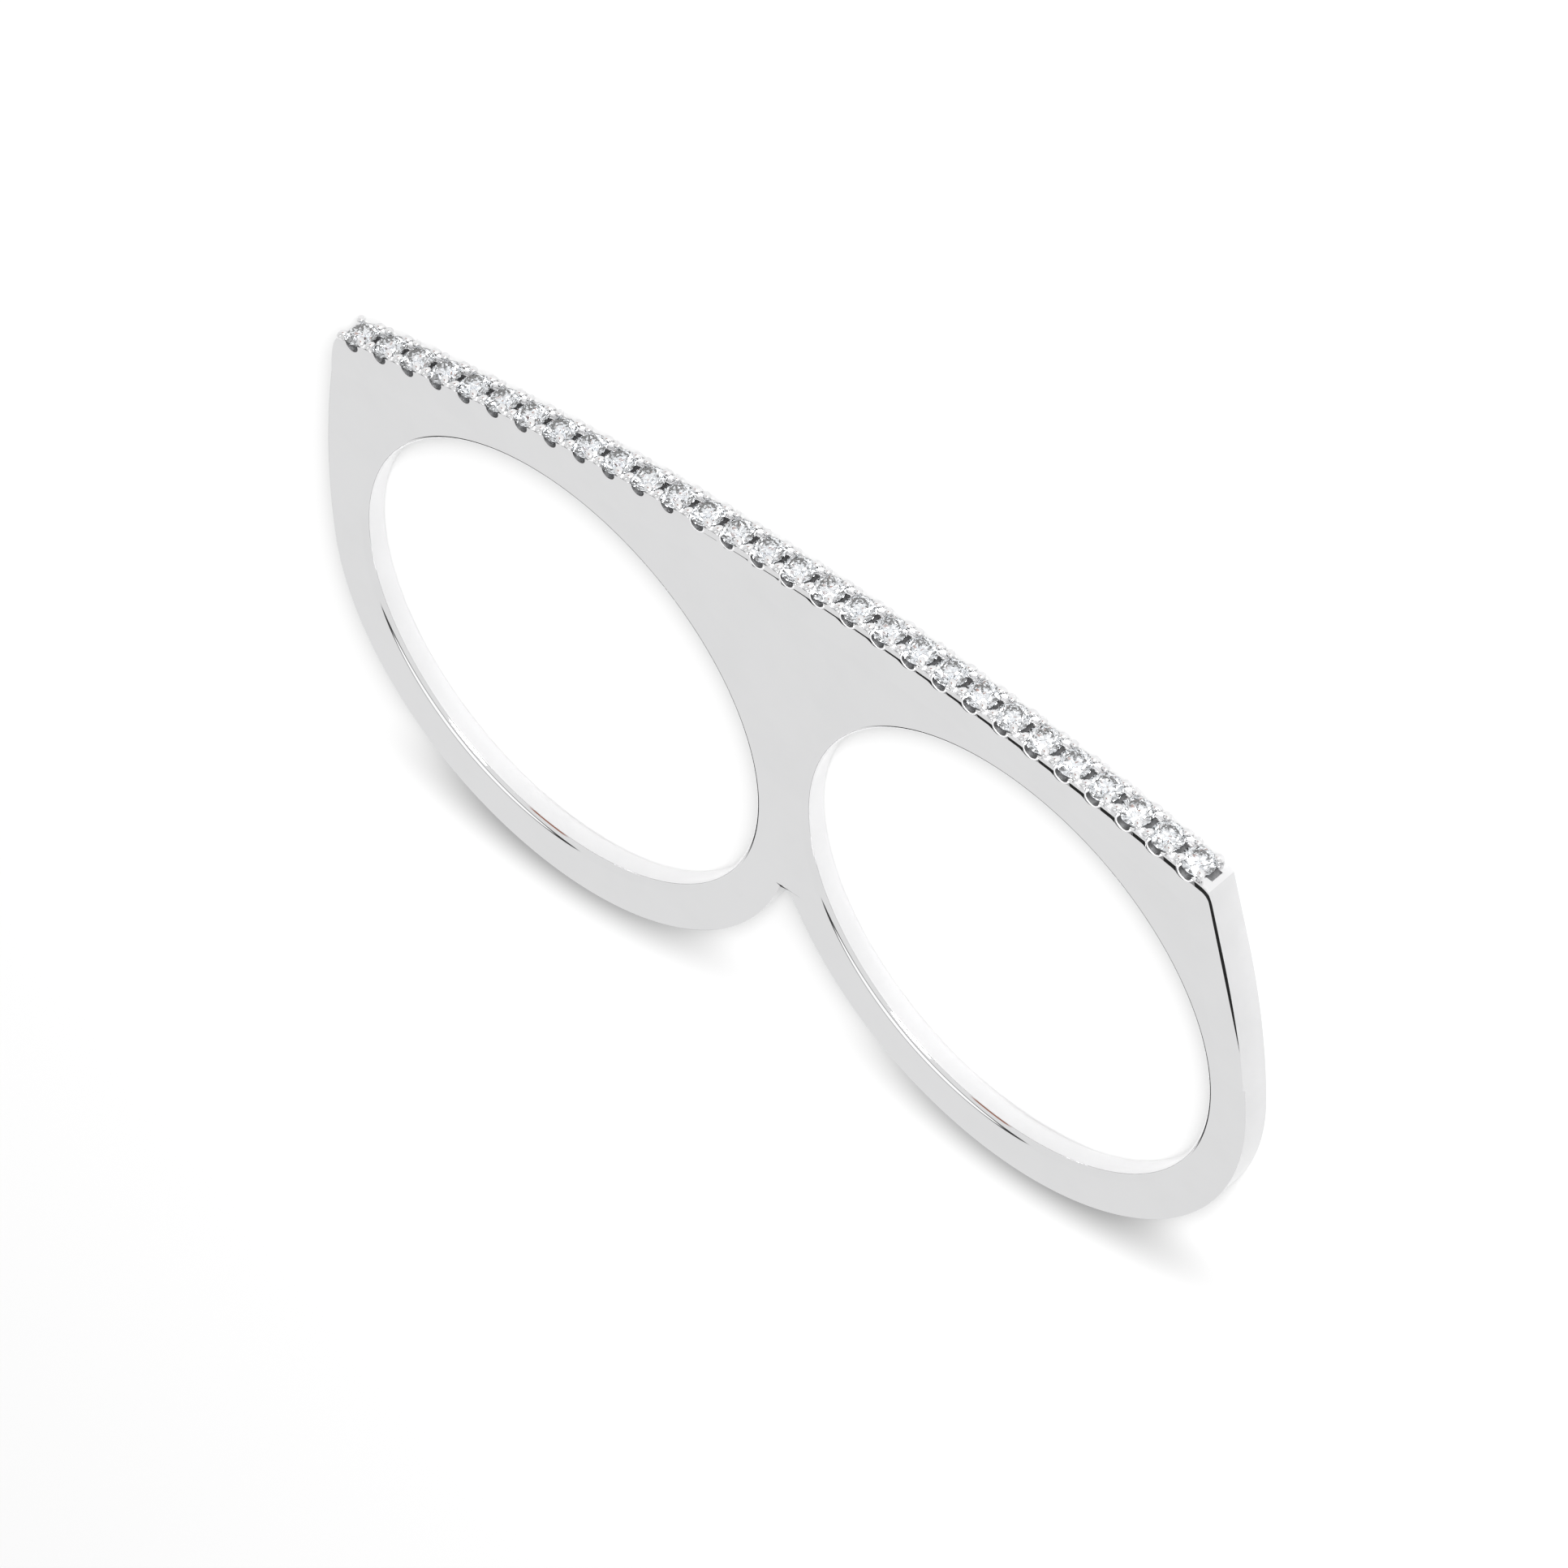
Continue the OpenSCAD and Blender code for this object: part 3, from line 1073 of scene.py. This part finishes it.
    def _finish_sides(self, body: Piece) -> None:
        """Gives the outer side walls, below the rail, their satin finish.

        Args:
            body: the casting, before its beads are joined to it.
        """
        crown, margin = 0.6, 0.5
        slots = [material.name for material in body.data.materials]
        polished, satin = slots.index(self.finishes.polished.name), slots.index(self.finishes.satin.name)
        for face in body.data.polygons:
            upright = abs(face.normal.z) < UPRIGHT and face.normal.y < crown
            outside = all((face.center - centre).xy.length > radius + margin for centre, radius in self.holes)
            if face.material_index == polished and upright and outside:
                face.material_index = satin

    def build(self, stones: Stones) -> Piece:
        """Models the body.

        Args:
            stones: the stones that it holds.

        Returns:
            The body, in metres.
        """
        spare = 0.2
        body = self._outline("ring_cast", 0.0, self.plate_t)
        self._soften_rims(body)
        for finish in (self.finishes.polished, self.finishes.satin):
            body.data.materials.append(finish)
        flare = self._flare()
        combine(flare, self._outline("outline_guide", -spare, self.rail_t + spare), Cut.KEEP_COMMON)
        combine(body, flare, Cut.JOIN)
        # A cut line through each hole's centre, so that no face reaches across the hole
        for side in (-1, 1):
            with editing(body):
                bpy.ops.mesh.bisect(plane_co=(side * self.shank_x, 0.0, 0.0), plane_no=Axis.ROW.value)
        for centre, radius in self.holes:
            combine(body, self._hole_cutter(centre, radius), Cut.REMOVE)
        for cutter in (self._scallop_cutters(), self._channel_cutter(), self._seat_cutters(stones)):
            combine(body, cutter, Cut.REMOVE)
        self._finish_sides(body)
        for raised in (self._beads(), self._waists(), *self._lips()):
            combine(body, raised, Cut.JOIN)
        self._smooth(body)
        return moved(body, Matrix.Scale(MILLIMETRE, 4))


@dataclass
class Studio:
    """Camera at the photograph's angle, pale floor and soft light.

    Lengths are in metres, but painted_shadows holds middles and half lengths along and across the row in
    millimetres, of the ovals where a shadow is painted on the floor.
    A side of the sky is an azimuth, its half width and its soft border, in degrees. A pair is a range of
    heights over which the sky fades.
    """

    camera_place: Triple = (0.199945, 0.294735, 0.194143)
    image_right: Triple = (0.732665, -0.051722, -0.678621)
    image_up: Triple = (-0.468168, 0.685419, -0.557692)
    out_of_image: Triple = (0.493985, 0.72631, 0.477968)
    lens: float = 290.54
    sensor: float = 36.0
    nearest: float = 0.01
    floor_half: float = 1.5
    floor_colour: Triple = (0.45, 0.45, 0.45)
    floor_roughness: float = 0.8
    floor_ior: float = 1.2
    floor_glow: float = 0.3
    # Ovals of painted shadow beside the shanks, and how much they darken the floor's colour and glow
    painted_shadows: tuple[tuple[float, float, float, float], ...] = ((-11.4, -11.0, 9.6, 2.9), (9.7, -11.0, 9.6, 2.9))
    painted_shadow_depth: float = 0.62
    wall_light: float = 0.88
    top_light: float = 0.35
    gap_light: float = 1.03
    gap_side: Triple = (-126.0, 12.0, 6.0)
    gap_top: Pair = (0.24, 0.27)
    ring_depth: float = 0.97
    ring_low: Pair = (0.85, 0.87)
    ring_top: Pair = (0.9, 0.92)
    warm_colour: Triple = (0.42, 0.17, 0.11)
    warm_side: Triple = (104.0, 7.0, 5.0)
    warm_low: Pair = (0.02, 0.06)
    warm_top: Pair = (0.3, 0.36)
    lamp_azimuth: float = 57.0
    lamp_elevation: float = 23.0
    lamp_away: float = 0.6
    lamp_size: float = 0.25
    lamp_watts: float = 8.0

    def _camera(self) -> None:
        """Places the camera."""
        camera = added(bpy.ops.object.camera_add, "photo_camera", location=self.camera_place)
        turn = Matrix((self.image_right, self.image_up, self.out_of_image)).transposed()
        camera.rotation_euler = turn.to_euler()
        camera.data.lens = self.lens
        camera.data.sensor_width = self.sensor
        camera.data.clip_start = self.nearest
        bpy.context.scene.camera = camera

    def _floor(self) -> None:
        """Lays the pale floor, with the ring's soft shadow painted into its colour and glow, on the level that
        the ring rests on.
        """
        floor = settle(added(bpy.ops.mesh.primitive_plane_add, "studio_floor", size=2 * self.floor_half))
        material, graph, shader = new_material("pale_floor")
        place = graph.add("ShaderNodeTexCoord").outputs["Object"]
        painted_shadow_ovals = []
        for patch in self.painted_shadows:
            x, y, half_long, half_wide = (MILLIMETRE * length for length in patch)
            away = graph.math("VECTOR_SUBTRACT", place, (x, y, 0.0))
            away = graph.math("VECTOR_DIVIDE", away, (half_long, half_wide, 1.0))
            painted_shadow_ovals.append(graph.ramp(graph.math("VECTOR_LENGTH", away), (0.0, 1.0), FADE_OUT))
        # Painted shadow: the ovals darken the floor's colour and its glow
        painted_shadow = graph.math("MAXIMUM", *painted_shadow_ovals)
        light = graph.math("SUBTRACT", 1.0, graph.math("MULTIPLY", painted_shadow, self.painted_shadow_depth))
        graph.feed(
            shader,
            Base_Color=graph.mix(light, (0.0, 0.0, 0.0), self.floor_colour),
            Roughness=self.floor_roughness,
            IOR=self.floor_ior,
            Emission_Color=(1.0, 1.0, 1.0, 1.0),
            Emission_Strength=graph.math("MULTIPLY", light, self.floor_glow),
        )
        floor.data.materials.append(material)

    @staticmethod
    def _sector(graph: NodeGraph, direction: Socket, side: Triple) -> Socket:
        """Masks one side of the sky.

        Args:
            graph: writer of the sky's nodes.
            direction: socket of the direction looked in.
            side: azimuth, half width and soft border, in degrees.

        Returns:
            The mask, 1 inside and 0 outside.
        """
        azimuth, half, soft = (math.radians(angle) for angle in side)
        level = graph.math("VECTOR_NORMALIZE", graph.math("VECTOR_MULTIPLY", direction, (1.0, 1.0, 0.0)))
        facing = graph.math("VECTOR_DOT_PRODUCT", level, (math.cos(azimuth), math.sin(azimuth), 0.0))
        return graph.ramp(facing, (math.cos(half + soft), math.cos(half)))

    @staticmethod
    def _band(graph: NodeGraph, height: Socket, low: Pair, top: Pair) -> Socket:
        """Masks the sky from the height where it fades in to the height where it fades out."""
        return graph.math("MULTIPLY", graph.ramp(height, low), graph.ramp(height, top, FADE_OUT))

    def _sky(self) -> None:
        """Makes the light tent: grey walls, a low dark gap, a bright top in a dark ring, a warm patch."""
        world = bpy.data.worlds.new("light_tent")
        bpy.context.scene.world = world
        world.use_nodes = True
        graph = NodeGraph(world.node_tree)
        direction = graph.add("ShaderNodeTexCoord").outputs["Generated"]
        height = graph.feed(graph.add("ShaderNodeSeparateXYZ"), Vector=direction).outputs["Z"]
        far_side = self._sector(graph, direction, self.gap_side)
        far_gap = graph.math("MULTIPLY", far_side, graph.ramp(height, self.gap_top, FADE_OUT))
        ring = self._band(graph, height, self.ring_low, self.ring_top)
        gaps = graph.math("MAXIMUM", far_gap, graph.math("MULTIPLY", ring, self.ring_depth))
        light = graph.math("ADD", graph.ramp(height, self.ring_top, (0.0, self.top_light)), self.wall_light)
        strength = graph.math("MULTIPLY", light, graph.math("SUBTRACT", self.gap_light, gaps))
        low = self._band(graph, height, self.warm_low, self.warm_top)
        warm = graph.math("MULTIPLY", self._sector(graph, direction, self.warm_side), low)
        colour = graph.mix(warm, (1.0, 1.0, 1.0), self.warm_colour)
        graph.feed(world.node_tree.nodes["Background"], Color=colour, Strength=strength)

    def _lamp(self) -> None:
        """Hangs the key lamp, a soft disk low on the camera's side."""
        azimuth, elevation = math.radians(self.lamp_azimuth), math.radians(self.lamp_elevation)
        flat = math.cos(elevation)
        towards = Vector((flat * math.cos(azimuth), flat * math.sin(azimuth), math.sin(elevation)))
        lamp = added(bpy.ops.object.light_add, "key_lamp", type="AREA", location=self.lamp_away * towards)
        lamp.data.shape = "DISK"
        lamp.data.size = self.lamp_size
        lamp.data.energy = self.lamp_watts
        lamp.rotation_euler = (-towards).to_track_quat("-Z", "Y").to_euler()

    def build(self) -> None:
        """Sets up the studio."""
        self._camera()
        self._floor()
        self._sky()
        self._lamp()
        bpy.context.scene.view_settings.view_transform = "Standard"


def main() -> None:
    """Builds the ring and its studio."""
    logging.basicConfig(level=logging.INFO, format="%(name)s: %(message)s")
    bpy.ops.object.select_all(action="SELECT")
    bpy.ops.object.delete()
    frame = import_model()
    finishes = Finishes()
    row = Row()
    stones = Stones(row, finishes)
    stones.dress(frame["nodes"])
    body = CastBody(row, finishes).build(stones)
    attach(body, "root")
    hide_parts("ring_body")
    LOG.info("%s: %d faces", body.name, len(body.data.polygons))
    Studio().build()


if __name__ == "__main__":
    main()
